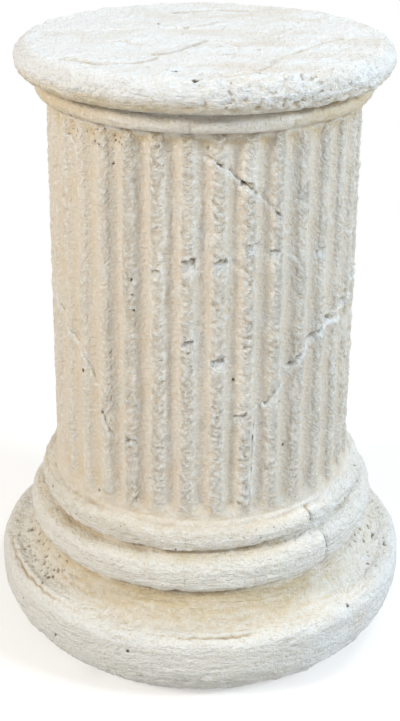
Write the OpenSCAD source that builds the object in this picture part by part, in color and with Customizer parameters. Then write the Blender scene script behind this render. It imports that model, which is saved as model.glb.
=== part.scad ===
// Short fluted pedestal column, cast in one piece: a round top slab on a thin
// bead, a fluted shaft, two more beads, a hollow moulding and a wide foot roll.
// Millimetres, +Z up, origin at the centre of the underside, front towards -Y.

/* [Overall] */
// Height from the underside to the top face
total_h = 508; // [420:1:700]

/* [Top slab] */
// Thickness of the slab, whose edge is a full half round
slab_t = 26; // [14:1:40]
// How far the slab stands out from the top of the shaft
slab_out = 23.5; // [16:0.5:45]

/* [Neck bead] */
// Thickness of the bead under the slab, whose edge is a full half round
neck_bead_t = 13; // [6:0.5:18]
// How far the neck bead stands out from the top of the shaft
neck_bead_out = 8.5; // [4:0.5:14]
// Height of the quirk, the narrow groove between the neck bead and the slab
neck_quirk_t = 3; // [1.5:0.5:8]
// How far the wall of that groove stands out from the top of the shaft
neck_quirk_out = 3.5; // [1:0.5:6]

/* [Shaft] */
// Diameter of the shaft at its foot, over the ridges
shaft_foot_d = 255; // [200:1:340]
// How much the shaft's radius narrows from its foot to its top
shaft_taper = 4; // [0:0.5:12]

/* [Flutes] */
// Number of flutes around the shaft
flute_n = 34; // [16:1:36]
// Width of a flute where it meets the ridges
flute_w = 13.8; // [8:0.2:16.6]
// Depth of a flute below the ridges
flute_depth = 4.5; // [2:0.5:7]
// Plain stretch of shaft left between a flute's end and the moulding next to it
flute_stop = 4; // [1:0.5:14]
// Turn of the nearest flute from the front
flute_turn = 0; // [-5.5:0.1:5.5]

/* [Base mouldings] */
// Thickness of the flat ledge under the shaft
ledge_t = 3; // [1.5:0.5:8]
// How far the ledge stands out from the shaft's foot
ledge_out = 3; // [1:0.5:8]
// Thickness of the upper bead
upper_bead_t = 20; // [17:0.5:30]
// How far the upper bead stands out from the shaft's foot
upper_bead_out = 12.5; // [10:0.5:20]
// Rounding of the upper bead's edge
upper_bead_round = 8; // [4:0.5:8.5]
// Height of the quirk between the two beads
base_quirk_t = 3; // [1.5:0.5:6]
// Depth of that groove below the upper bead's edge
base_quirk_depth = 6.5; // [3:0.5:8]
// Thickness of the lower bead
lower_bead_t = 31; // [25:1:42]
// How far the lower bead stands out from the upper bead
lower_bead_out = 11; // [6:0.5:20]
// Rounding of the lower bead's edge
lower_bead_round = 12; // [6:0.5:12.5]
// Depth of the hollow's upper end below the lower bead's edge
hollow_inset = 8; // [4:0.5:11]
// Radius of the hollow, a quarter round between the lower bead and the foot roll
hollow_round = 25; // [16:0.5:36]

/* [Foot roll] */
// Height of the foot roll
foot_h = 67; // [58:1:84]
// How far the foot roll's top stands above the hollow's lower end
foot_lip = 1; // [0.5:0.5:3]
// How far the foot roll's widest part stands out from the hollow's lower end
foot_out = 12; // [8:0.5:22]
// Height at which the foot roll is widest
foot_belly_z = 46; // [36:1:50]
// Rounding of the foot roll above its widest part
foot_upper_round = 13; // [6:0.5:16]
// How far the underside's edge lies inside the foot roll's widest part
underside_inset = 30; // [16:1:36]

/* [Hidden] */
cast_stone = [0.90, 0.87, 0.81];
circle_steps = 96; // segments in a full circle

// Heights, stacked up from the underside and down from the top face
hollow_z = foot_h - foot_lip;
lower_bead_z = hollow_z + hollow_round;
base_quirk_z = lower_bead_z + lower_bead_t;
upper_bead_z = base_quirk_z + base_quirk_t;
ledge_z = upper_bead_z + upper_bead_t;
shaft_z = ledge_z + ledge_t;
slab_z = total_h - slab_t;
neck_quirk_z = slab_z - neck_quirk_t;
neck_bead_z = neck_quirk_z - neck_bead_t;
shaft_h = neck_bead_z - shaft_z;

// Radii, worked outwards from the shaft
shaft_foot_r = shaft_foot_d / 2;
shaft_top_r = shaft_foot_r - shaft_taper;
slab_r = shaft_top_r + slab_out;
neck_bead_r = shaft_top_r + neck_bead_out;
neck_quirk_r = shaft_top_r + neck_quirk_out;
ledge_r = shaft_foot_r + ledge_out;
upper_bead_r = shaft_foot_r + upper_bead_out;
base_quirk_r = upper_bead_r - base_quirk_depth;
lower_bead_r = upper_bead_r + lower_bead_out;
hollow_top_r = lower_bead_r - hollow_inset;
hollow_foot_r = hollow_top_r + hollow_round;
foot_r = hollow_foot_r + foot_out;

// The flute's circle passes through both of its edges and its deepest point
flute_r = (flute_w ^ 2 / 4 + flute_depth ^ 2) / (2 * flute_depth);
flute_axis_out = flute_r - flute_depth;

// The foot roll's lower arc is upright at its widest part and ends at the underside's edge
foot_lower_round = (underside_inset ^ 2 + foot_belly_z ^ 2) / (2 * underside_inset);

// The flutes follow the taper
flute_lean = atan(shaft_taper / shaft_h);
ridge_length = sqrt(shaft_h ^ 2 + shaft_taper ^ 2);

$fn = circle_steps;

// A band of the half section, from the axis out to radius r and t tall from height z
module band(r, z, t) {
    translate([0, z]) square([r, t]);
}

// A band with its outer edge rounded above and below, up to a full half round
module bead_band(r, z, t, edge_round = 1000) {
    e = min(edge_round, t / 2);
    band(r - e, z, t);
    if (t > 2 * e) band(r, z + e, t - 2 * e);
    for (centre_z = [z + e, z + t - e])
        translate([r - e, centre_z]) circle(r = e);
}

// The wide roll that the column stands on, tucked in below to a flat underside
module foot_roll_section() {
    lower_centre_r = foot_r - foot_lower_round;
    upper_centre_z = foot_h - foot_upper_round;
    band(lower_centre_r, 0, foot_belly_z);
    intersection() {
        translate([lower_centre_r, foot_belly_z]) circle(r = foot_lower_round);
        translate([lower_centre_r, 0]) square([foot_lower_round, foot_belly_z]);
    }
    band(foot_r, foot_belly_z, upper_centre_z - foot_belly_z);
    band(foot_r - foot_upper_round, foot_belly_z, hollow_z - foot_belly_z);
    translate([foot_r - foot_upper_round, upper_centre_z]) circle(r = foot_upper_round);
}

// The hollow moulding: a quarter round scooped out between the lower bead and the foot roll
module hollow_section() {
    difference() {
        band(hollow_foot_r, foot_belly_z, lower_bead_z - foot_belly_z);
        translate([hollow_foot_r, lower_bead_z]) circle(r = hollow_round);
    }
}

// Both beads of the base, the groove between them and the ledge that carries the shaft
module base_beads_section() {
    bead_band(lower_bead_r, lower_bead_z, lower_bead_t, lower_bead_round);
    band(base_quirk_r, base_quirk_z, base_quirk_t);
    bead_band(upper_bead_r, upper_bead_z, upper_bead_t, upper_bead_round);
    band(ledge_r, ledge_z, ledge_t);
}

module shaft_section() {
    polygon([
        [0, shaft_z],
        [shaft_foot_r, shaft_z],
        [shaft_top_r, neck_bead_z],
        [0, neck_bead_z]
    ]);
}

// The neck bead, the groove above it and the slab
module top_section() {
    bead_band(neck_bead_r, neck_bead_z, neck_bead_t);
    band(neck_quirk_r, neck_quirk_z, neck_quirk_t);
    bead_band(slab_r, slab_z, slab_t);
}

// One flute's cutter, which lies along the tapered shaft and ends square at both ends
module flute() {
    translate([shaft_foot_r + flute_axis_out, 0, shaft_z])
        rotate([0, -flute_lean, 0])
            translate([0, 0, flute_stop])
                cylinder(r = flute_r, h = ridge_length - 2 * flute_stop);
}

module column() {
    color(cast_stone)
        difference() {
            rotate_extrude() {
                foot_roll_section();
                hollow_section();
                base_beads_section();
                shaft_section();
                top_section();
            }
            for (i = [0 : flute_n - 1])
                rotate([0, 0, -90 + flute_turn + i * 360 / flute_n]) flute();
        }
}

column();
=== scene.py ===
from math import atan2, degrees, pi, radians

import bpy
import numpy as np
from mathutils import Euler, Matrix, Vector


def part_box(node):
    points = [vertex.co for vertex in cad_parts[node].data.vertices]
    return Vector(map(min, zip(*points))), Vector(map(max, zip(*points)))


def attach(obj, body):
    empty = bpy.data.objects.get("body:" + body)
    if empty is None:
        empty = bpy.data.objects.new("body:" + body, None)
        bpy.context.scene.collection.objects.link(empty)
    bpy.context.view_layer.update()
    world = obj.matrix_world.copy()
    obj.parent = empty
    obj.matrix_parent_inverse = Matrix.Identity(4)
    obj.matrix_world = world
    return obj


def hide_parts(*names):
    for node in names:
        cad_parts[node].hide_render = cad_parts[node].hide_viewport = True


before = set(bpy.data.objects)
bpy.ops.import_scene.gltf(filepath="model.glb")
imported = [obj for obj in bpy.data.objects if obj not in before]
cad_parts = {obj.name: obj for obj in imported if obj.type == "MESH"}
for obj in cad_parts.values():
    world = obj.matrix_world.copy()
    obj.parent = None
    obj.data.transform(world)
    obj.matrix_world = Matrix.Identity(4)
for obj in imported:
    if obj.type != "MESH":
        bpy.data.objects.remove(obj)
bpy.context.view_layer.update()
mm = 0.001


# ---------------------------------------------------------------- Camera
# A hand-held view from about a metre away, a little above the slab and looking down on the foot.
# The hand leans it slightly to one side.

eye = bpy.data.cameras.new("eye")
camera = bpy.data.objects.new("camera", eye)
bpy.context.scene.collection.objects.link(camera)
bpy.context.scene.camera = camera
eye.sensor_width = 36
eye.lens = 64.16
eye.clip_start = 0.05
eye_away, eye_height = 998.6, 714.2
look_down, turn_left, lean = 25.88, 0.1, 0.47
camera.location = (0, -eye_away * mm, eye_height * mm)
aim = Euler((radians(90 - look_down), 0, radians(turn_left))).to_matrix()
camera.rotation_euler = (aim @ Euler((0, 0, radians(lean))).to_matrix()).to_euler()


# ---------------------------------------------------------------- Column: the turned form
# The whole column is one casting in pale cement and marble dust. Its form was turned with a template:
# slab, neck bead, tapered shaft, two base beads, a hollow and the foot roll it stands on.

low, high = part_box("column")
total_h = high.z / mm
slab_r, slab_t = 147, 26
neck_bead_r, neck_bead_t = 132, 13
neck_quirk_r, neck_quirk_t = 127, 3
shaft_top_r, shaft_foot_r = 123.5, 127.5
ledge_r, ledge_t = 130.5, 3
upper_bead_r, upper_bead_t, upper_bead_round = 140, 20, 8
base_quirk_r, base_quirk_t = 133.5, 3
lower_bead_r, lower_bead_t, lower_bead_round = 151, 31, 12
hollow_top_r, hollow_round = 143, 25
foot_h, foot_lip, foot_belly_z, foot_upper_round = 67, 1, 46, 13
foot_r = (high.x - low.x) / 2 / mm
underside_r = foot_r - 30

lower_bead_z = foot_h - foot_lip + hollow_round
base_quirk_z = lower_bead_z + lower_bead_t
upper_bead_z = base_quirk_z + base_quirk_t
ledge_z = upper_bead_z + upper_bead_t
shaft_z = ledge_z + ledge_t
slab_z = total_h - slab_t
neck_bead_z = slab_z - neck_quirk_t - neck_bead_t
# The roll's underside is one arc from its belly to the flat that it stands on
foot_lower_round = ((foot_r - underside_r) ** 2 + foot_belly_z**2) / (2 * (foot_r - underside_r))


def arc(centre_r, centre_z, radius, start, stop):
    """Points round part of a circle, in degrees from the outward direction."""
    turn = np.radians(np.linspace(start, stop, 24))
    return list(zip(centre_r + radius * np.cos(turn), centre_z + radius * np.sin(turn)))


def bead(r, z, t, edge_round):
    """The outer edge of a bead, from its top to its underside."""
    return arc(r - edge_round, z + t - edge_round, edge_round, 90, 0) + arc(
        r - edge_round, z + edge_round, edge_round, 0, -90
    )


hollow_centre = (hollow_top_r + hollow_round, lower_bead_z)
hollow_foot_angle, roll_start_angle = 258, 108
tuck_angle = degrees(atan2(foot_belly_z, underside_r - foot_r + foot_lower_round))
outline = [(0, total_h)]
outline += bead(slab_r, slab_z, slab_t, slab_t / 2)
outline += [(neck_quirk_r, slab_z), (neck_quirk_r, slab_z - neck_quirk_t)]
outline += bead(neck_bead_r, neck_bead_z, neck_bead_t, neck_bead_t / 2)
outline += [(shaft_top_r, neck_bead_z), (shaft_foot_r, shaft_z)]
outline += [(ledge_r, shaft_z), (ledge_r, ledge_z)]
outline += bead(upper_bead_r, upper_bead_z, upper_bead_t, upper_bead_round)
outline += [(base_quirk_r, base_quirk_z + base_quirk_t), (base_quirk_r, base_quirk_z)]
outline += bead(lower_bead_r, lower_bead_z, lower_bead_t, lower_bead_round)
outline += arc(*hollow_centre, hollow_round, 180, hollow_foot_angle)
outline += arc(
    foot_r - foot_upper_round, foot_h - foot_upper_round, foot_upper_round, roll_start_angle, 0
)
outline += arc(foot_r - foot_lower_round, foot_belly_z, foot_lower_round, 0, -tuck_angle)
outline += [(underside_r - 2, 0), (0, 0)]
outline = np.array(outline, float)


def walk(line, step):
    """The same line with a point at each step of its length."""
    length = np.concatenate([[0], np.cumsum(np.hypot(*np.diff(line, axis=0).T))])
    at = np.linspace(0, length[-1], int(length[-1] / step) + 2)
    return np.stack([np.interp(at, length, line[:, k]) for k in (0, 1)], axis=1)


def soften(line, reach):
    """Rounds a line's corners, as wear does, over about reach points each way."""
    weight = np.exp(-0.5 * (np.arange(-3 * reach, 3 * reach + 1) / reach) ** 2)
    n = 3 * reach
    first, last = 2 * line[0] - line[n:0:-1], 2 * line[-1] - line[-2 : -n - 2 : -1]
    padded = np.concatenate([first, line, last])
    return np.stack(
        [np.convolve(padded[:, k], weight / weight.sum(), "valid") for k in (0, 1)], axis=1
    )


# Rows of points down the section and turns of points round it. Fans close the middle of both ends.
grain = 1.1
turns = 1020
fan_r, underside_rim = 3, 12
section = walk(soften(walk(outline, 0.4), 3), grain)
is_outer = (section[:, 1] > 0.5) | (section[:, 0] > underside_r - underside_rim)
section = section[(section[:, 0] > fan_r) & is_outer]
run = np.gradient(section, axis=0)
run /= np.hypot(*run.T)[:, None]
out_r, out_z = -run[:, 1:], run[:, :1]
radius, height = section[:, :1], section[:, 1:]
angle = np.linspace(-180, 180, turns, endpoint=False)[None, :]
across, back = np.sin(np.radians(angle)), -np.cos(np.radians(angle))
rows = len(section)
form = np.stack(
    [radius * across, radius * back, np.broadcast_to(height, (rows, turns))], axis=-1
)


# ---------------------------------------------------------------- Column: casting marks and wear
# The mould left soft swells, drag lines and air holes, and years outdoors crumbled the ridges.
# All of it is relief in millimetres, outward from the turned form.


def soft_step(start, end, value):
    """A smooth change from 0 at start to 1 at end."""
    t = np.clip((value - start) / (end - start), 0, 1)
    return t * t * (3 - 2 * t)


def mottle(places, size, seed):
    """Smooth random swells about size apart, from about -1 to 1, the same for the same seed."""
    p = np.asarray(places, np.float32) / np.array(size, np.float32) + 100 + 7.31 * seed
    cell = np.floor(p).astype(np.int32)
    f = p - cell
    w = f * f * f * (f * (f * 6 - 15) + 10)
    mask = 0x7FFFFFFF
    total = np.zeros(p.shape[:-1], np.float32)
    for i in (0, 1):
        for j in (0, 1):
            for k in (0, 1):
                c = cell + np.array((i, j, k), np.int32)
                h = (c[..., 0] * 374761393 + c[..., 1] * 668265263 + c[..., 2] * 2147483647) & mask
                h = ((h ^ (h >> 13)) * 1274126177) & mask
                h ^= h >> 16
                slope = (
                    ((h & 255) / 127.5 - 1) * (f[..., 0] - i)
                    + (((h >> 8) & 255) / 127.5 - 1) * (f[..., 1] - j)
                    + (((h >> 16) & 255) / 127.5 - 1) * (f[..., 2] - k)
                )
                share = np.abs(1 - i - w[..., 0]) * np.abs(1 - j - w[..., 1])
                share = share * np.abs(1 - k - w[..., 2])
                total += slope.astype(np.float32) * share
    return total * 1.3


# Where each kind of surface is, as a share from 0 to 1 down the rows and round the turns
flat_out, flat_in = slab_r - 10, slab_r - 16
way_down = np.arange(rows)[:, None]
rim_row = int(np.argmax(section[:, 0] > slab_r - 0.2))
on_top = soft_step(flat_out, flat_in, radius) * (way_down < rim_row)
on_slab_edge = soft_step(slab_z - 1, slab_z + 3, height) * (1 - on_top)
on_shaft = soft_step(shaft_z, shaft_z + 2, height)
on_shaft = on_shaft * soft_step(neck_bead_z, neck_bead_z - 2, height)
on_base = soft_step(shaft_z + 2, shaft_z - 2, height)
on_foot = soft_step(foot_h - 1, foot_h - 5, height)
in_hollow = soft_step(lower_bead_z + 2, lower_bead_z - 6, height)
in_hollow = in_hollow * soft_step(foot_r - 7, foot_r - 15, radius)
in_hollow = in_hollow * soft_step(foot_h - 4, foot_h - 1.5, height)
neck = soft_step(neck_bead_z - 2, neck_bead_z + 2, height)
neck = neck * soft_step(slab_z + 2, slab_z - 1, height)
from_front = np.abs(angle)
filled_left = soft_step(30, 40, -angle) * soft_step(100, 78, -angle)

# Broad swells, gentler on top where the casting was levelled
relief = 0.55 * mottle(form, 45, 1) + 0.22 * mottle(form, 14, 2)
relief *= 1 - 0.5 * on_top

# Flutes: round-bottomed, ending square below the neck bead and running out above the ledge.
# On the left they are worn and partly filled.
flute_n, flute_w, flute_depth = 34, 13.8, 4.5
filled_share, depth_share, bottom_round = 0.42, 0.95, 0.7
pitch = 360 / flute_n
wander = 1.5 * mottle(form, (9, 9, 16), 3) + 1.1 * mottle(form, (3.6, 3.6, 4), 4)
from_flute = (angle + pitch / 2) % pitch - pitch / 2
side = np.radians(from_flute) * radius
reach = np.abs(side) + (1 - 0.6 * filled_left) * wander
scoop = depth_share * flute_depth * (1 - (np.abs(reach) / (flute_w / 2)) ** 2)
scoop = (scoop + np.hypot(scoop, bottom_round)) / 2
ends = soft_step(shaft_z + 3, shaft_z + 15, height)
ends = ends * soft_step(neck_bead_z - 1, neck_bead_z - 9, height)
worn_depth = (1 - filled_share * filled_left) * (1 + 0.2 * mottle(form, (26, 26, 70), 5))
fluting = np.minimum(scoop, flute_depth) * ends * worn_depth * on_shaft
relief -= fluting

# Ridges between the flutes: rounded over and crumbled into small slanting scallops
half_pitch = np.radians(pitch) * radius / 2
ridge_half = half_pitch - flute_w / 2
from_ridge = np.where(side < 0, -1, 1) * (half_pitch - np.abs(side))
ragged_off = np.abs(from_ridge) - 0.8 * wander
on_ridge = soft_step(ridge_half + 1.8, ridge_half - 1.2, ragged_off) * on_shaft
rounded_over = 0.7
relief -= rounded_over * on_shaft * ends * np.clip(np.abs(from_ridge) / ridge_half, 0, 1) ** 3
slant_centre = 5 * mottle(form, (12, 12, 12), 31)
slant = form.copy()
slant[..., 2] -= 0.6 * np.abs(from_ridge + slant_centre)
crumble = 2.2 * mottle(slant, (5.5, 5.5, 3.8), 6) + 1.3 * mottle(form, (3.2, 3.2, 2.8), 7)
patchy = 0.85 + 0.9 * mottle(form, (12, 12, 30), 8)
crumbled = on_ridge * np.clip(patchy, 0.2, 1.4) * (1 - 0.55 * filled_left)
crumbled *= 0.2 + 0.8 * soft_step(shaft_z + 2, shaft_z + 14, height)
relief += (1.05 * crumble - 0.2) * crumbled
drag_lines = mottle(form, (2.2, 2.2, 60), 9)
relief += 0.16 * drag_lines * on_shaft * (1 - on_ridge)

# Mouldings: fine level lines from the template, and coarser laps towards the foot
laps = mottle(form, (38, 38, 3.2), 10) + 0.7 * mottle(form, (22, 22, 6.5), 11)
laps = laps + 0.8 * mottle(form, (26, 26, 2.4), 32)
relief += laps * (0.8 * on_base + 0.2 * on_foot + 0.45 * on_slab_edge)
ripples = mottle(form, (20, 20, 5), 26) + 0.7 * mottle(form, (8, 8, 4), 27)
relief += (0.7 + 0.7 * soft_step(40, 12, height)) * ripples * soft_step(64, 50, height)
relief += 0.9 * mottle(form, (5, 5, 4), 12) * soft_step(44, 12, height)
dents = 1.5 * mottle(form, (11, 11, 8), 33) + 1.2 * mottle(form, (5.5, 5.5, 4), 13)
relief += 0.75 * dents * on_base * (1 - 0.5 * on_foot)

# Slab edge: crumbled along the front right, smoother on the left
crumbly_edge = on_slab_edge * (0.25 + 0.75 * soft_step(-8, 8, angle) * soft_step(75, 50, angle))
relief += crumbly_edge * (2.2 * mottle(form, (8, 8, 4.5), 14) + 1.1 * mottle(form, 3.2, 15) - 0.3)
edge_dents = 1.2 * mottle(form, (12, 12, 9), 34) + 0.6 * mottle(form, (5, 5, 4), 42)
relief += edge_dents * on_slab_edge
pitting = mottle(form, (6, 6, 4.5), 40) + 0.4 * mottle(form, 2.6, 41)
relief -= 3.2 * crumbly_edge * np.clip(pitting - 0.1, 0, 0.5)

# Neck: an uneven bead, with its quirk under the slab partly filled
relief += neck * (0.9 * mottle(form, (9, 9, 5), 35) + 0.5 * mottle(form, (24, 24, 2.6), 36))
quirk_fill = np.exp(-(((height - slab_z + 1.5) / 1.6) ** 2))
relief += 1.6 * quirk_fill * soft_step(neck_quirk_r + 4, neck_quirk_r + 2, radius)

# Top face: sweeps of the trowel
sweep = form.copy()
sweep[..., 0] += 9 * mottle(form, 55, 16)
side_share, back_share = 0.80, 0.60
swept = (side_share * sweep[..., 0] - back_share * sweep[..., 1])[..., None]
along = (back_share * sweep[..., 0] + side_share * sweep[..., 1])[..., None]
strokes = np.concatenate([swept, along, sweep[..., 2:]], axis=-1)
relief += on_top * (1.3 * mottle(strokes, (11, 70, 50), 17) + 0.35 * mottle(form, 6, 18))


def nearest_row(r, z):
    """The row of the section that lies nearest to a radius and a height."""
    return int(np.argmin((section[:, 0] - r) ** 2 + (section[:, 1] - z) ** 2))


def window(r, z, turn, size):
    """The rows and turns within size of a place on the surface."""
    row, col = nearest_row(r, z), int(round((turn + 180) / 360 * turns))
    tall = int(size / grain) + 2
    wide = int(size / (2 * pi * r / turns)) + 2
    picked_rows = np.arange(max(row - tall, 0), min(row + tall + 1, rows))
    return picked_rows[:, None], (np.arange(col - wide, col + wide + 1) % turns)[None, :]


def shaft_radius(z):
    """The radius of the tapered shaft at a height."""
    return np.interp(z, (shaft_z, neck_bead_z), (shaft_foot_r, shaft_top_r))


# Shares of filth and painted shade in holes, cracks and breaks, of painted shade beside the trowel lines
# on top, and of freshly broken stone and painted highlight, filled in as marks are made
hole = 0.6 * crumbly_edge * soft_step(0.2, 0.5, pitting)
trowel_line_shade = np.zeros((rows, turns))
fresh_break_and_highlight = np.zeros((rows, turns))


def air_hole(r, z, turn, across_mm, deep, filth_and_shade=1.0):
    """A round hole left by a bubble in the casting, darkened by the dirt and painted shade in it."""
    here = window(r, z, turn, across_mm)
    centre = form[nearest_row(r, z), int(round((turn + 180) / 360 * turns)) % turns]
    away = np.linalg.norm(form[here] - centre, axis=-1) / (across_mm / 2)
    away = away * (1 + 0.6 * mottle(form[here], 2.6, 44))
    bowl = soft_step(1.15, 0.45, away)
    relief[here] -= deep * bowl
    hole[here] = np.maximum(hole[here], filth_and_shade * soft_step(1.25, 0.8, away))


def chip(turn, z, wide, tall, deep, slope=0.3):
    """A bite out of a ridge: a steep broken edge above, with painted shadow under it, and a face running
    out below it, whitened as fresh stone and as painted highlight.
    """
    r = float(shaft_radius(z))
    here = window(r, z - tall / 2, turn, max(wide, tall))
    ragged = mottle(form[here], (4.5, 4.5, 4.5), 43)
    u = np.radians(angle[0][here[1]] - turn) * r / (wide / 2) + 0.5 * ragged
    down = z - height[here[0][:, 0]] + slope * u * wide / 2 + 0.6 * wander[here] + 2 * ragged
    down = down / tall
    bite = soft_step(0, 0.12, down) * np.clip(1 - down, 0, 1) * soft_step(1.15, 0.75, np.abs(u))
    relief[here] += 0.5 * np.exp(-(((down + 0.12) / 0.12) ** 2)) * soft_step(1.1, 0.7, np.abs(u))
    relief[here] -= 2.0 * deep * bite
    # The bite's face: fresh stone and painted highlight
    fresh_break_and_highlight[here] = np.maximum(fresh_break_and_highlight[here], soft_step(0.05, 0.35, bite) * soft_step(0.1, 0.3, down))
    # Painted shadow along the bite's broken upper edge
    lip = np.exp(-(((down - 0.06) / 0.1) ** 2)) * soft_step(1.1, 0.7, np.abs(u))
    hole[here] = np.maximum(hole[here], 0.62 * lip)


def crack(points, deep, lift, on_flutes=0.4, wide=0.8):
    """A crack through (turn, height) points on the shaft. Below it the surface stands proud by lift."""
    line = np.array(points, float)
    z_low, z_high = line[:, 1].min() - 14, line[:, 1].max() + 6
    t_low, t_high = line[:, 0].min() - 6, line[:, 0].max() + 6
    r = float(shaft_radius(line[:, 1].mean()))
    picked_rows = np.nonzero((section[:, 1] > z_low) & (section[:, 1] < z_high))[0]
    picked_turns = np.nonzero((angle[0] > t_low) & (angle[0] < t_high))[0]
    here = (picked_rows[:, None], picked_turns[None, :])
    x = np.radians(angle[0][picked_turns])[None, :] * r + wander[here]
    z = height[picked_rows] + 2.6 * mottle(form[here], 6, 19) + 1.2 * mottle(form[here], 3, 37)
    best = np.full(x.shape, 1e9)
    below = np.zeros(x.shape)
    for (t0, z0), (t1, z1) in zip(line[:-1], line[1:]):
        a, b = np.array((radians(t0) * r, z0)), np.array((radians(t1) * r, z1))
        d = b - a
        share = np.clip(((x - a[0]) * d[0] + (z - a[1]) * d[1]) / (d @ d), 0, 1)
        gap = np.hypot(x - a[0] - share * d[0], z - a[1] - share * d[1])
        under = (a[1] + share * d[1]) > z
        below = np.where(gap < best, under, below)
        best = np.minimum(best, gap)
    strength = on_flutes + (1 - on_flutes) * on_ridge[here]
    strength = strength * np.clip(0.85 + 1.2 * mottle(form[here], (7, 7, 7), 28), 0.3, 1.25)
    groove = np.exp(-((best / wide) ** 2))
    ledge = below * np.exp(-best / 4) * (1 - groove)
    relief[here] += strength * (lift * ledge - deep * groove)
    # Dirt and painted shade along the crack, and below it fresh stone and painted highlight on the proud
    # lip
    hole[here] = np.maximum(hole[here], 0.66 * groove * strength)
    fresh_break_and_highlight[here] = np.maximum(fresh_break_and_highlight[here], strength * below * soft_step(2.6 * wide + 2, wide, best))


# The long crack from under the neck bead, down to the right
long_crack = [
    (1, 448), (4, 444), (8, 439), (12, 431), (16, 425), (20, 418), (24, 409), (28, 399), (31, 388),
]
crack(long_crack, deep=2.0, lift=1.6, on_flutes=0.7, wide=1.1)
crack([(34, 367), (36.5, 359), (39.5, 350)], deep=2.0, lift=2.6, on_flutes=0.9, wide=1.1)
# The broken line that climbs from the front to the right
crack([(80, 326), (74, 319), (67, 310), (60, 304), (55, 302)], deep=3.8, lift=3.6, on_flutes=1.0, wide=2.0)
crack([(54, 303), (50, 300), (45, 295), (40.5, 289)], deep=3.4, lift=3.8, on_flutes=1.1, wide=1.8)
crack([(38.5, 284), (33, 276)], deep=3.2, lift=3.4, on_flutes=1.1, wide=1.6)
crack([(29, 262), (26, 255), (23.5, 248)], deep=2.4, lift=2.8, on_flutes=0.9, wide=1.3)
crack([(19.4, 232), (19.0, 212), (18.7, 190), (18.2, 168)], deep=1.5, lift=0.2, on_flutes=1.0, wide=0.7)
# The crack down the worn left side
left_crack = [(-72, 314), (-63, 297), (-55.5, 286), (-50, 279), (-46, 270), (-42, 254)]
crack(left_crack, deep=1.4, lift=1.5, on_flutes=0.8)
crack([(-40, 236), (-38, 228), (-36, 219), (-33.5, 213)], deep=1.2, lift=1.4, on_flutes=0.8)
crack([(-56, 450), (-53, 446), (-50, 439)], deep=0.3, lift=1.4, on_flutes=1.0, wide=0.6)

# Bites out of the ridges: turn from the front, height, then width, height, depth and slope of the bite
chip(-4.6, 371, 10, 14, 2.6)
chip(6.4, 371, 9, 13, 2.6)
chip(17.0, 382, 9, 10, 2.4)
chip(25.6, 375, 7, 9, 2.0, 0.0)
chip(-16.6, 361, 7, 7, 2.6, 0.1)
chip(46.5, 366, 8, 10, 2.0)
chip(5.6, 292, 10, 13, 2.8, 0.45)
chip(-5.2, 306, 8, 8, 2.0)
chip(14.2, 242, 8, 9, 2.2, 0.4)
chip(-17.5, 183, 9, 8, 2.4, 0.0)
chip(-26.4, 214, 8, 7, 2.0)
chip(37.6, 412, 7, 8, 1.8)
chip(58.6, 262, 8, 9, 2.2)
chip(119, 340, 9, 11, 2.2)
chip(-127, 262, 9, 10, 2.2)
chip(172, 395, 8, 10, 2.0)
chip(15.0, 429, 9, 7, 2.8, -0.3)

# Air holes: single ones on the shaft, the slab and the foot, and pitted patches in the hollow
for turn, z, size in [
    (-25.4, 351, 2.6), (-24.7, 326, 2.6), (-24.9, 338, 2.0), (11.6, 271, 2.8), (29.7, 246, 2.6),
    (-41.8, 156, 2.8), (-29, 218, 2.2), (32.5, 205, 2.4), (-48.8, 262, 4.2), (-38.9, 231, 3.0),
    (-33.1, 436, 2.2), (52, 205, 2.2), (131, 300, 2.6), (-150, 210, 2.4), (96, 402, 2.4),
]:
    air_hole(float(shaft_radius(z)), z, turn, size, deep=1.9)
for turn, r, size in [
    (-10.4, 114, 4.6), (-1.5, 123, 2.8), (16.8, 124, 4.2), (15.3, 66, 4.0), (40, 61, 4.0),
    (17, 36, 3.4), (-21, 111, 2.4), (-13, 115, 2.2), (58, 74, 2.4), (128, 96, 3.4), (-142, 60, 3),
]:
    air_hole(r, total_h, turn, size, deep=2.4)
air_hole(139.5, total_h - 1.5, -2.3, 4.6, deep=2.4)
for turn, z, r in [
    (-57.7, 49, 180), (-42.2, 38.6, 179), (-18.8, 51, 180), (44.8, 63.5, 175),
    (-101, 44, 180), (150, 40, 179),
]:
    air_hole(r, z, turn, across_mm=3.2, deep=2.0)

# Pitted patches: the left and the right of the hollow, a few behind, the shaft's top left, a bead
pick = np.random.default_rng(34)
hollow_rows = np.nonzero(in_hollow[:, 0] > 0.6)[0]
patches = ((75, -92, -50, 3.4), (46, 64, 96, 3.4), (24, 100, 260, 2.2))
for count, turn_low, turn_high, largest in patches:
    for _ in range(count):
        row = int(hollow_rows[0] + len(hollow_rows) * pick.beta(1.6, 1.6))
        row = min(row, hollow_rows[-1])
        turn, size = pick.uniform(turn_low, turn_high), pick.uniform(1.3, largest)
        air_hole(section[row, 0], section[row, 1], turn, 1.25 * size, 0.8 * size, filth_and_shade=0.72)
for _ in range(26):
    z, turn = pick.uniform(448, 465), pick.uniform(-56, -27)
    air_hole(float(shaft_radius(z)), z, turn, pick.uniform(1.2, 2.4), deep=1.2)
for _ in range(34):
    z, turn = pick.uniform(126, 146), pick.uniform(-180, 180)
    air_hole(upper_bead_r, z, turn, pick.uniform(1.2, 2.4), deep=1.2)


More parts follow.
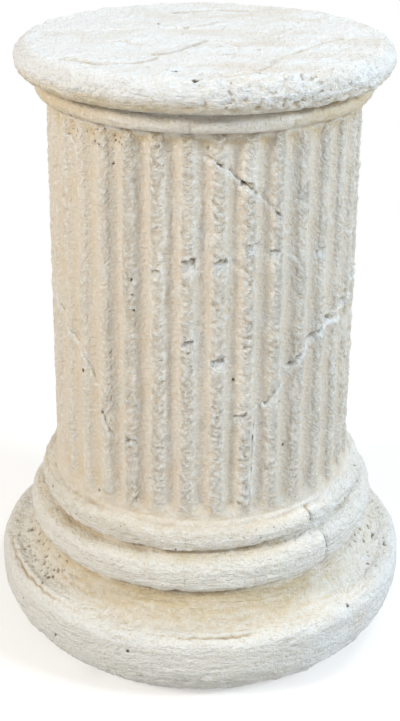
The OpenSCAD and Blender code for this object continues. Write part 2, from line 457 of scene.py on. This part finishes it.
def trowel_line(points, rise, wide):
    """A thin ridge that the trowel's edge left on top, through (turn, radius) points."""
    line = np.array([(r * np.sin(np.radians(t)), -r * np.cos(np.radians(t))) for t, r in points])
    line = walk(soften(walk(line, 2), 4), 2)
    flat = form[:rim_row, :, :2]
    flat = flat + 3.5 * mottle(form[:rim_row], 14, 29)[..., None]
    best = np.full(flat.shape[:2], 1e9)
    behind = np.zeros(flat.shape[:2])
    for a, b in zip(line[:-1], line[1:]):
        d = b - a
        share = np.clip(((flat - a) @ d) / (d @ d), 0, 1)
        off = flat - a - share[..., None] * d
        gap = np.hypot(off[..., 0], off[..., 1])
        behind = np.where(gap < best, off[..., 1] > 0, behind)
        best = np.minimum(best, gap)
    fade = 0.9 + 0.5 * mottle(form[:rim_row], 22, 30)
    off_line = np.where(behind > 0, best, -best) / wide
    crest = np.exp(-((off_line - 0.9) ** 2)) - 0.9 * np.exp(-((off_line + 0.9) ** 2))
    fade = np.clip(fade, 0.1, 1.2) * on_top[:rim_row]
    relief[:rim_row] += rise * fade * crest
    # Painted shade in the groove beside the ridge
    trowel_line_shade[:rim_row] = np.maximum(trowel_line_shade[:rim_row], rise * fade * np.exp(-((off_line + 0.8) ** 2)))


trowel_line([(-29, 76), (-25, 69), (-22.5, 62), (-20.5, 52), (-17.5, 36.5), (-5, 17)], rise=2.6, wide=1.7)
trowel_line([(-5, 17), (38, 16), (46, 28), (40, 44)], rise=1.0, wide=2.0)
left_line = [
    (-51, 130), (-47, 126), (-42, 121), (-37, 117), (-32, 112), (-27.5, 102), (-25.5, 84),
]
trowel_line(left_line, rise=1.9, wide=1.6)
trowel_line([(-153, 35), (-174, 42), (174, 54), (164, 63)], rise=1.8, wide=1.8)
trowel_line([(-165, 96), (-173, 102), (178, 107), (167, 111), (158, 117)], rise=2.0, wide=1.8)
trowel_line([(-72, 83), (-74, 71), (-71, 60), (-53, 53)], rise=1.4, wide=1.8)
trowel_line([(27, 99), (41, 87), (59, 82), (77, 89), (89, 105)], rise=1.6, wide=2.0)
trowel_line([(6, 127), (13, 125), (20, 114), (32, 96)], rise=1.5, wide=2.0)
trowel_line([(-100, 95), (-118, 62), (170, 30)], rise=0.8, wide=1.8)
trowel_line([(140, 96), (118, 84), (96, 62)], rise=0.8, wide=1.8)


def nick(turn, r, z_low, z_high, wide, deep, drop, filth_and_shade=0.55):
    """A break across a moulding, with the part to its right lower by drop."""
    in_height = (section[:, 1] > z_low) & (section[:, 1] < z_high)
    picked = np.nonzero(in_height & (section[:, 0] > r - 14))[0]
    up = np.clip((section[picked, 1] - z_low) / (z_high - z_low), 0, 1)
    fade = np.sin(np.pi * up)[:, None] ** 0.5
    x = np.radians(angle - turn) * r + 1.2 * mottle(form[picked], (40, 40, 7), 20)
    groove = np.exp(-((x / wide) ** 2)) * fade
    lower_right = soft_step(0, 2, x) * np.exp(-np.maximum(x, 0) / 30)
    relief[picked] -= deep * groove + drop * fade * lower_right
    # Dirt and painted shade in the break
    darkened_at_break = np.exp(-((x / (1.3 * wide)) ** 2)) * fade
    hole[picked] = np.maximum(hole[picked], filth_and_shade * darkened_at_break)


# The mould's joint, which steps down through both base beads, the hollow and the foot roll
nick(41, upper_bead_r, upper_bead_z - 1, ledge_z + 3, 1.7, 3.6, 3.0, filth_and_shade=1.0)
nick(44.6, lower_bead_r, lower_bead_z - 2, base_quirk_z + 2, 2.2, 5.0, 5.0, filth_and_shade=1.0)
nick(46.5, hollow_centre[0] - 10, foot_h - 2, lower_bead_z - 2, 1.0, 0.9, 0.8, filth_and_shade=0.5)
nick(44, foot_r - 2, 20, foot_h - 2, 0.9, 0.8, 0.5, filth_and_shade=0.45)
# Finer lines and small breaks across the beads
nick(-4.6, lower_bead_r, lower_bead_z - 2, base_quirk_z + 1, 0.7, 0.5, 0.2)
nick(-4.8, upper_bead_r, upper_bead_z, ledge_z, 0.7, 0.5, 0.2)
nick(29.5, neck_bead_r, neck_bead_z - 1, neck_bead_z + 9, 1.5, 1.6, 0.9)
nick(-4.3, neck_bead_r, neck_bead_z - 1, neck_bead_z + 10, 1.6, 0.9, 0.3)
nick(-128, lower_bead_r, lower_bead_z - 2, base_quirk_z + 2, 1.3, 1.4, 1.0)

# The crevice along the crown of the foot roll: open in front and on the left, faint elsewhere
crease_row = nearest_row(foot_r - foot_upper_round + 4.5, foot_h - 1.2)
off_crease = (way_down - crease_row) * grain
open_crease = np.clip(0.55 + 0.9 * mottle(form[crease_row][None, :, :], (30, 30, 30), 21), 0, 1)
crease_wander = 2.5 * mottle(form, (9, 9, 3), 22)
seam = np.exp(-(((off_crease + crease_wander) / 1.4) ** 2))
widest = 0.85 * np.exp(-(((angle - 5) / 11) ** 4)) + 0.9 * np.exp(-(((angle + 60) / 18) ** 4))
open_crease = open_crease * (0.3 + 0.2 * soft_step(90, 150, from_front)) + 0.75 * widest
relief -= 2.4 * seam * open_crease
relief += 1.1 * np.exp(-(((off_crease + 3.5) / 2.0) ** 2)) * np.clip(widest, 0, 1)
ledge_wander = 2.5 * mottle(form, (9, 9, 3), 45)
ledge_in = 11
ledge_line = np.exp(-(((off_crease + ledge_in + ledge_wander) / 1.6) ** 2))
relief += 1.5 * ledge_line * soft_step(18, 26, angle) * soft_step(50, 42, angle)
rings_in_hollow = mottle(form, (60, 60, 60), 46) * np.sin(0.95 * off_crease + 2 * mottle(form, 40, 47))
relief += 0.7 * rings_in_hollow * in_hollow

# A lump broken from the underside's edge at the front left
lump_turn = -34
here = window(underside_r + 12, 5, lump_turn, 22)
lump_across = np.radians(angle[0][here[1]] - lump_turn) * foot_r / 9
away = np.hypot(lump_across, (height[here[0][:, 0]] - 3) / 8)
relief[here] -= 3.5 * soft_step(1.1, 0.5, away)
hole[here] = np.maximum(hole[here], soft_step(1.0, 0.4, away))


def blurred(field, times):
    """The same field, with each point evened out with its neighbours a number of times."""
    for _ in range(times):
        field = (np.roll(field, 1, 1) + 2 * field + np.roll(field, -1, 1)) / 4
        field[1:-1] = (field[:-2] + 2 * field[1:-1] + field[2:]) / 4
    return field


# The top is let in a little, so that the relief on it stays under the full height
relief -= 0.8 * on_top
hollowness = blurred(relief, 10) - relief


def eased(value, limit, room):
    """The same value, bent over smoothly so that it never passes the limit."""
    over = np.maximum(value - limit + room, 0)
    return np.minimum(value, limit - room) + room * np.tanh(over / room)


# The two base beads sit a little askew in the casting: lower on the left, higher on the right
askew = 5 * np.interp(height, (foot_h, lower_bead_z + 6, base_quirk_z, ledge_z + 2), (0, 0.55, 1, 0))
bend = 1.1 * mottle(form, (110, 110, 400), 23)
spread = radius + relief * out_r + 0.4 * bend * on_base
spread = eased(spread, foot_r, 1.2)
rise = eased(height + relief * out_z + askew * across, total_h, 0.8)
places = np.stack([spread * across, spread * back, np.maximum(rise, 0)], axis=-1)

# Grime and painted shade: brown filth and painted shade in the quirks and under the beads and the slab,
# painted shade beside the trowel lines on top, and dirt and painted shade in the crevice, as a share from
# 0 to 1
blotches = mottle(form, (34, 34, 22), 24) + 0.6 * mottle(form, (11, 11, 9), 25)
grime_and_painted_shade = np.zeros((rows, turns))
for z, r, tall in (
    (base_quirk_z + 1.5, base_quirk_r + 4, 4.5),
    (lower_bead_z - 0.5, hollow_top_r + 6, 6.0),
    (ledge_z + 0.5, ledge_r + 1, 2.2),
    (neck_bead_z, shaft_top_r + 3, 2.5),
):
    grime_and_painted_shade += np.exp(-(((height - z) / tall) ** 2)) * soft_step(r + 4, r, radius)
# Painted shadow under the slab
under_slab = np.exp(-(((height - slab_z + 1) / 2) ** 2))
grime_and_painted_shade += 0.35 * under_slab * soft_step(neck_quirk_r + 7, neck_quirk_r + 3, radius)
grime_and_painted_shade *= np.clip(0.65 + 1.1 * blotches, 0.15, 1.1)
grime_and_painted_shade *= 0.9 - 0.3 * on_base
grime_and_painted_shade += 0.38 * trowel_line_shade
# Dirt and painted shade in the open crevice
grime_and_painted_shade += 0.9 * seam * open_crease * soft_step(0.2, 0.6, open_crease)

# Stain: ochre where damp stands, in the hollow, beside the beads, round the neck and in deep places; the
# dark under the beads, under the slab and in deep places is painted shade
damp = soft_step(62, 25, angle) + soft_step(110, 150, angle)
# Less on the right side: there the mouldings are painted lighter and less stained, standing for the light
# from that side
away_from_right = 1 - 0.75 * soft_step(12, 45, angle) * soft_step(140, 110, angle)
outward = soft_step(148, 162, radius)
# In the hollow: darker in under the bead and lighter outward, as painted shade, and a little in the
# crevice
stain_and_painted_shade = (0.38 + 0.24 * damp) * in_hollow * (1.25 - 0.55 * outward) + 0.25 * seam
stain_and_painted_shade -= 0.22 * in_hollow * soft_step(-25, -50, angle)
# Ochre bands and painted shade beside and under the beads, less on the right
for z, tall, much in ((ledge_z, 5, 0.45), (base_quirk_z + 1, 5, 0.65), (lower_bead_z - 2, 6, 0.4)):
    band = np.exp(-(((height - z) / tall) ** 2)) * soft_step(lower_bead_r, lower_bead_r - 5, radius)
    stain_and_painted_shade += much * band * away_from_right
neck_sides = soft_step(15, 40, from_front) * soft_step(110, 65, from_front)
stain_and_painted_shade += neck * (0.2 + 0.5 * neck_sides)
stain_and_painted_shade += 0.35 * filled_left * np.clip(fluting / 2, 0, 1)
# Painted shade towards the slab's lower edge, most on the left
low_edge = on_slab_edge * soft_step(total_h - 8, slab_z + 2, height)
stain_and_painted_shade += (0.45 + 0.4 * soft_step(10, -20, angle)) * low_edge
# Painted shade in the hollow places of the relief
stain_and_painted_shade = stain_and_painted_shade * (0.9 + 0.35 * blotches) + 0.6 * np.clip(hollowness, 0, 1)
shaft_foot = on_shaft * np.exp(-np.maximum(height - shaft_z, 0) / 14)
stain_and_painted_shade += shaft_foot * (0.3 + 0.3 * blotches)
# Painted shade just under the neck bead
shaft_head = on_shaft * soft_step(neck_bead_z - 26, neck_bead_z, height)
stain_and_painted_shade += 0.5 * soft_step(neck_bead_z + 4, neck_bead_z - 3, height) * shaft_head

# Chalk: whiter stone where rain rinses the mouldings, on rubbed high places and on fresh breaks, which is
# also painted highlight there, and painted light on the lit right side and on the neck's front
# High places whiter, as wear and as painted highlight
rubbed_and_highlight = np.clip(-1.4 * hollowness, 0, 1)
clean_and_lit = on_base * (1 - 0.45 * in_hollow) * (0.95 + 0.35 * blotches) + 0.6 * on_slab_edge
# Painted light: the upper bead stays whiter on the right side than elsewhere
clean_and_lit *= 1 - 0.45 * away_from_right * on_base * soft_step(base_quirk_z - 2, upper_bead_z + 4, height)
chalk_and_painted_light = clean_and_lit + (0.8 + 0.4 * on_shaft) * rubbed_and_highlight + 1.1 * fresh_break_and_highlight
# Painted light: the neck's front, in the slab's shadow, and the right of the hollow are made whiter; the
# hollow's left is whiter too
chalk_and_painted_light += 0.5 * neck * soft_step(45, 20, from_front)
chalk_and_painted_light += 0.55 * in_hollow * soft_step(28, 55, angle) * soft_step(110, 90, angle)
chalk_and_painted_light += 0.3 * in_hollow * soft_step(-20, -50, angle) * soft_step(-110, -90, angle)

# The coldest white: on top, on the foot and on fresh breaks, as painted light on the right of the
# mouldings, and on the right of the slab's edge
cold_white_and_painted_light = soft_step(slab_z + 3, total_h - 7, height) * (1 - 0.35 * soft_step(0.0, 0.5, blotches))
cold_white_and_painted_light = cold_white_and_painted_light + 0.55 * on_base * (1 - away_from_right)
cold_white_and_painted_light = cold_white_and_painted_light + 0.3 * on_slab_edge * soft_step(0, 30, angle)
cold_white_and_painted_light = cold_white_and_painted_light + 0.7 * fresh_break_and_highlight + 0.4 * on_foot
# Dark dirt and painted shade in the holes, cracks and breaks, and in the crevice at the front
grit_and_painted_shade = hole + 0.5 * seam * open_crease * soft_step(-12, 0, angle) * soft_step(26, 16, angle)

# The top's shallow sweeps are stood up while the mesh is thinned, so that they are not lost,
# and then laid back
top_gain, top_z = 4, float(places[: rim_row // 2, :, 2].mean())


def top_share(r):
    """1 on the flat of the top and 0 out at its rounded edge."""
    return soft_step(flat_out, flat_in, r)


stood = 1 + top_gain * top_share(np.hypot(places[..., 0], places[..., 1])) * (way_down < rim_row)
places[..., 2] = top_z + (places[..., 2] - top_z) * stood
here = np.arange(turns)
beside = (here + 1) % turns
ring = np.arange(rows - 1)[:, None] * turns
below = ring + turns
quads = np.stack([ring + here, below + here, below + beside, ring + beside], axis=-1).reshape(-1, 4)
top_mid, foot_mid = rows * turns, rows * turns + 1
last = (rows - 1) * turns
caps = np.concatenate([
    np.stack([np.full(turns, top_mid), here, beside], axis=-1),
    np.stack([np.full(turns, foot_mid), last + beside, last + here], axis=-1),
])
middle = [[0, 0, places[0, :, 2].mean()], [0, 0, 0]]
points = np.concatenate([places.reshape(-1, 3), middle]) * mm
mesh = bpy.data.meshes.new("column_cast")
mesh.from_pydata(points.tolist(), [], quads.tolist() + caps.tolist())
shares = {
    "stain_and_painted_shade": stain_and_painted_shade,
    "chalk_and_painted_light": chalk_and_painted_light,
    "cold_white_and_painted_light": cold_white_and_painted_light,
    "grime_and_painted_shade": grime_and_painted_shade,
    "grit_and_painted_shade": grit_and_painted_shade,
    "crumbled": crumbled,
    "off_ridge": np.abs(from_ridge) * mm,
}
for name, share in shares.items():
    layer = mesh.attributes.new(name, "FLOAT", "POINT")
    share = np.broadcast_to(np.clip(share, 0, 1), (rows, turns)).reshape(-1)
    layer.data.foreach_set("value", np.append(share, (share[0], 0)).astype(np.float32))
column = bpy.data.objects.new("column_cast", mesh)
bpy.context.scene.collection.objects.link(column)

most_triangles = 196_000
thin = column.modifiers.new("thin", "DECIMATE")
thin.ratio = most_triangles / (2 * len(quads) + len(caps))
column.data = bpy.data.meshes.new_from_object(
    column.evaluated_get(bpy.context.evaluated_depsgraph_get())
)
column.modifiers.clear()
thinned = np.empty(3 * len(column.data.vertices), np.float32)
column.data.vertices.foreach_get("co", thinned)
thinned = thinned.reshape(-1, 3) / mm
stood = 1 + top_gain * top_share(np.hypot(*thinned[:, :2].T)) * (thinned[:, 2] > slab_z)
thinned[:, 2] = np.clip(top_z + (thinned[:, 2] - top_z) / stood, 0, total_h)
column.data.vertices.foreach_set("co", (thinned * mm).reshape(-1))
column.data.update()
column.data.name = "column_cast"
column.data.shade_smooth()


# ---------------------------------------------------------------- Column: the stone
# Cream cast stone: warm and mottled, whiter where rubbed and on top, ochre where damp stands
# in the hollow and grooves, and dark grit in the holes and cracks; the dark in recesses and under ledges
# is partly painted shade, and the whiter high places and right side partly painted light.


def colour(red, green, blue):
    """A colour as it looks, from 0 to 255, as the linear values that a shader takes."""
    seen = np.array((red, green, blue)) / 255
    linear = np.where(seen <= 0.04045, seen / 12.92, ((seen + 0.055) / 1.055) ** 2.4)
    return (*linear.tolist(), 1.0)


stone = bpy.data.materials.new("cast_stone")
stone.use_nodes = True
nodes, links = stone.node_tree.nodes, stone.node_tree.links
shader = nodes["Principled BSDF"]
place = nodes.new("ShaderNodeTexCoord").outputs["Object"]


def noise(size_mm, detail=3.0, rough=0.55, stretch=(1, 1, 1), at=place):
    """A noise with features of a given size, stretched along an axis where that is under 1."""
    mapping = nodes.new("ShaderNodeMapping")
    mapping.inputs["Scale"].default_value = stretch
    links.new(at, mapping.inputs["Vector"])
    node = nodes.new("ShaderNodeTexNoise")
    node.inputs["Scale"].default_value = 1 / (size_mm * mm)
    node.inputs["Detail"].default_value = detail
    node.inputs["Roughness"].default_value = rough
    links.new(mapping.outputs["Vector"], node.inputs["Vector"])
    return node.outputs["Fac"]


def share_of(name):
    """One of the shares that the mesh carries."""
    node = nodes.new("ShaderNodeAttribute")
    node.attribute_name = name
    return node.outputs["Fac"]


def sums(operation, first, second):
    """Two values added, multiplied or compared."""
    node = nodes.new("ShaderNodeMath")
    node.operation = operation
    for socket, value in zip(node.inputs, (first, second)):
        if isinstance(value, (int, float)):
            socket.default_value = value
        else:
            links.new(value, socket)
    return node.outputs[0]


def between(value, start, end, to_start=0.0, to_end=1.0):
    """A smooth change from to_start to to_end as the value goes from start to end."""
    node = nodes.new("ShaderNodeMapRange")
    node.interpolation_type = "SMOOTHSTEP"
    sockets = ("From Min", "From Max", "To Min", "To Max")
    for socket, number in zip(sockets, (start, end, to_start, to_end)):
        node.inputs[socket].default_value = number
    links.new(value, node.inputs["Value"])
    return node.outputs["Result"]


def tint(under, over, share):
    """One colour laid over another, as thick as the share."""
    node = nodes.new("ShaderNodeMix")
    node.data_type = "RGBA"
    for socket, value in ((node.inputs[6], under), (node.inputs[7], over)):
        if isinstance(value, tuple):
            socket.default_value = value
        else:
            links.new(value, socket)
    links.new(share, node.inputs[0])
    return node.outputs[2]


cream, warm, cool = colour(227, 219, 207), colour(222, 210, 191), colour(220, 218, 213)
white, coldest_white = colour(242, 240, 233), colour(244, 247, 249)
ochre, brown, dark = colour(216, 196, 156), colour(168, 142, 104), colour(92, 74, 54)
split = nodes.new("ShaderNodeSeparateXYZ")
links.new(place, split.inputs[0])
stone_x, stone_y, stone_z = split.outputs["X"], split.outputs["Y"], split.outputs["Z"]

# Warm and cool patches of the cement
shade = tint(cream, warm, between(noise(30, 5, 0.65), 0.42, 0.68, 0, 0.7))
shade = tint(shade, cool, between(noise(18, 4, 0.6, (1, 1, 0.5)), 0.5, 0.72, 0, 0.7))

# White where rubbed or rinsed and as painted light and highlight, broken up by the grain, and colder white
# on top and as painted light on the right, with warm smears
grainy = between(noise(2.2, 5, 0.65), 0.2, 0.6, 0.55, 1.15)
grained_chalk_and_light = sums("MULTIPLY", share_of("chalk_and_painted_light"), grainy)
shade = tint(shade, white, between(grained_chalk_and_light, 0.05, 1.0))
shade = tint(shade, coldest_white, between(share_of("cold_white_and_painted_light"), 0.0, 1.0))
smears = between(noise(30, 4, 0.6, (0.4, 1, 1)), 0.42, 0.7, 0, 0.5)
smears = sums("MULTIPLY", smears, between(stone_x, -0.1, 0.01, 0.1, 1.0))
shade = tint(shade, warm, sums("MULTIPLY", smears, share_of("cold_white_and_painted_light")))

# Ochre and brown in damp and dirty places, and as painted shade in the hollow, the quirks, under the beads
# and the slab and in deep places
uneven = between(noise(13, 4, 0.55, (0.35, 0.35, 1)), 0.3, 0.68, 0.8, 1.1)
uneven_stain_and_shade = sums("MULTIPLY", share_of("stain_and_painted_shade"), uneven)
shade = tint(shade, ochre, between(uneven_stain_and_shade, 0.1, 1.1, 0, 0.85))
shade = tint(shade, brown, between(share_of("grime_and_painted_shade"), 0.1, 1.0, 0, 0.75))

# Ochre and white grains all over, and dark filth and painted shade in the holes, cracks and breaks
shade = tint(shade, ochre, between(noise(2.6, 3, 0.6), 0.52, 0.72, 0, 0.5))
shade = tint(shade, white, between(noise(3.4, 3, 0.6, (1, 1, 0.8)), 0.54, 0.72, 0, 0.6))
shade = tint(shade, dark, between(share_of("grit_and_painted_shade"), 0.25, 0.95, 0, 0.9))
links.new(shade, shader.inputs["Base Color"])
links.new(between(noise(9, 4, 0.6), 0.3, 0.7, 0.78, 0.95), shader.inputs["Roughness"])
shader.inputs["Specular IOR Level"].default_value = 0.3


def with_more(skin, pattern, much):
    """The skin's height with so much of another pattern added."""
    return sums("ADD", skin, sums("MULTIPLY", pattern, much))


# Skin: crumbs that slant off the ridges, fine grain, and on the mouldings level lines
slanted = nodes.new("ShaderNodeCombineXYZ")
links.new(stone_x, slanted.inputs["X"])
links.new(stone_y, slanted.inputs["Y"])
links.new(sums("SUBTRACT", stone_z, share_of("off_ridge")), slanted.inputs["Z"])
crumbs = noise(1.9, 3, 0.6, (0.5, 0.5, 1), slanted.outputs["Vector"])
on_base_skin = between(stone_z, (ledge_z + 4) * mm, (ledge_z - 4) * mm, 0.3, 1.0)
on_slab_skin = between(stone_z, (slab_z - 2) * mm, (slab_z + 3) * mm, 0, 0.7)
on_mouldings = sums("MAXIMUM", on_base_skin, on_slab_skin)
level_lines = sums("MULTIPLY", noise(2.6, 4, 0.6, (0.22, 0.22, 1)), on_mouldings)
coarse_grain = sums("MULTIPLY", noise(3.4, 3, 0.6, (0.6, 0.6, 1)), on_mouldings)
brushed_top = sums("MULTIPLY", noise(6, 4, 0.6, (1, 0.3, 1)), share_of("cold_white_and_painted_light"))
skin = sums("MULTIPLY", crumbs, between(share_of("crumbled"), 0.0, 1.0, 0.15, 1.6))
skin = with_more(skin, noise(1.3, 3, 0.6), 0.45)
skin = with_more(skin, noise(3.0, 3, 0.6), 0.8)
skin = with_more(skin, level_lines, 1.4)
skin = with_more(skin, coarse_grain, 1.6)
skin = with_more(skin, brushed_top, 1.3)
bump = nodes.new("ShaderNodeBump")
skin_deep = 2.2
bump.inputs["Strength"].default_value = 1.0
bump.inputs["Distance"].default_value = skin_deep * mm
links.new(skin, bump.inputs["Height"])
links.new(bump.outputs["Normal"], shader.inputs["Normal"])
column.data.materials.clear()
column.data.materials.append(stone)

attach(column, "root")
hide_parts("column")


# ---------------------------------------------------------------- Floor and light
# A plain pale floor and an even white sky. Three soft round lamps: a warm one from the front left,
# a cool one from the front right, and a weak one from above and behind.

floor_mesh = bpy.data.meshes.new("floor")
floor_half = 4.0
corners = [(x * floor_half, y * floor_half, 0) for x, y in ((-1, -1), (1, -1), (1, 1), (-1, 1))]
floor_mesh.from_pydata(corners, [], [(0, 1, 2, 3)])
floor = bpy.data.objects.new("floor", floor_mesh)
bpy.context.scene.collection.objects.link(floor)


def seen_directly(tree):
    """1 where the camera, a reflection or a clear material sees the surface, and 0 where light does."""
    ray = tree.nodes.new("ShaderNodeLightPath")
    seen = ray.outputs["Is Camera Ray"]
    for kind in ("Is Glossy Ray", "Is Transmission Ray"):
        either = tree.nodes.new("ShaderNodeMath")
        either.operation = "MAXIMUM"
        tree.links.new(seen, either.inputs[0])
        tree.links.new(ray.outputs[kind], either.inputs[1])
        seen = either.outputs[0]
    return seen


# Where it is seen, the floor is lifted to white, and is pure white away from the column's shadow
lift_strength, shadow_reach, all_white_from = 0.46, 0.2, 0.7
pale = bpy.data.materials.new("pale_floor")
pale.use_nodes = True
pale_nodes, pale_links = pale.node_tree.nodes, pale.node_tree.links
pale_shader = pale_nodes["Principled BSDF"]
pale_shader.inputs["Base Color"].default_value = colour(205, 204, 202)
pale_shader.inputs["Roughness"].default_value = 0.9
pale_shader.inputs["Specular IOR Level"].default_value = 0.1
lift = pale_nodes.new("ShaderNodeEmission")
lift.inputs["Strength"].default_value = lift_strength
lifted = pale_nodes.new("ShaderNodeAddShader")
pale_links.new(pale_shader.outputs[0], lifted.inputs[0])
pale_links.new(lift.outputs[0], lifted.inputs[1])
all_white = pale_nodes.new("ShaderNodeEmission")
all_white.inputs["Strength"].default_value = 1.0
spot = pale_nodes.new("ShaderNodeTexCoord")
distance = pale_nodes.new("ShaderNodeVectorMath")
distance.operation = "LENGTH"
pale_links.new(spot.outputs["Object"], distance.inputs[0])
away = pale_nodes.new("ShaderNodeMapRange")
away.interpolation_type = "SMOOTHSTEP"
away.inputs["From Min"].default_value = shadow_reach
away.inputs["From Max"].default_value = all_white_from
pale_links.new(distance.outputs["Value"], away.inputs["Value"])
shown = pale_nodes.new("ShaderNodeMixShader")
pale_links.new(away.outputs["Result"], shown.inputs[0])
pale_links.new(lifted.outputs[0], shown.inputs[1])
pale_links.new(all_white.outputs[0], shown.inputs[2])
seen_floor = pale_nodes.new("ShaderNodeMixShader")
pale_links.new(seen_directly(pale.node_tree), seen_floor.inputs[0])
pale_links.new(pale_shader.outputs[0], seen_floor.inputs[1])
pale_links.new(shown.outputs[0], seen_floor.inputs[2])
pale_links.new(seen_floor.outputs[0], pale_nodes["Material Output"].inputs["Surface"])
floor_mesh.materials.append(pale)

lamp_across = 0.8
column_middle = Vector((0, 0, 0.25))


def lamp(name, place, watts, tone):
    """A soft round lamp, turned towards the middle of the column."""
    light = bpy.data.lights.new(name, "AREA")
    light.shape = "DISK"
    light.size = lamp_across
    light.energy = watts
    light.color = tone
    piece = bpy.data.objects.new(name, light)
    piece.location = place
    piece.rotation_euler = (column_middle - Vector(place)).to_track_quat("-Z", "Y").to_euler()
    bpy.context.scene.collection.objects.link(piece)


lamp("lamp_left", (-2.0, -1.3, 1.75), watts=47, tone=(1.0, 0.92, 0.81))
lamp("lamp_right", (2.1, -1.1, 1.8), watts=50, tone=(0.80, 0.91, 1.0))
lamp("lamp_over", (1.1, 0.7, 2.0), watts=11, tone=(0.97, 0.99, 1.0))

sky_light, sky_seen = 0.37, 1.0
sky = bpy.data.worlds.new("sky")
bpy.context.scene.world = sky
sky.use_nodes = True
backdrop = sky.node_tree.nodes["Background"]
backdrop.inputs["Color"].default_value = (1, 1, 1, 1)
level = sky.node_tree.nodes.new("ShaderNodeMapRange")
level.inputs["To Min"].default_value = sky_light
level.inputs["To Max"].default_value = sky_seen
sky.node_tree.links.new(seen_directly(sky.node_tree), level.inputs["Value"])
sky.node_tree.links.new(level.outputs["Result"], backdrop.inputs["Strength"])

bpy.context.scene.view_settings.view_transform = "Standard"
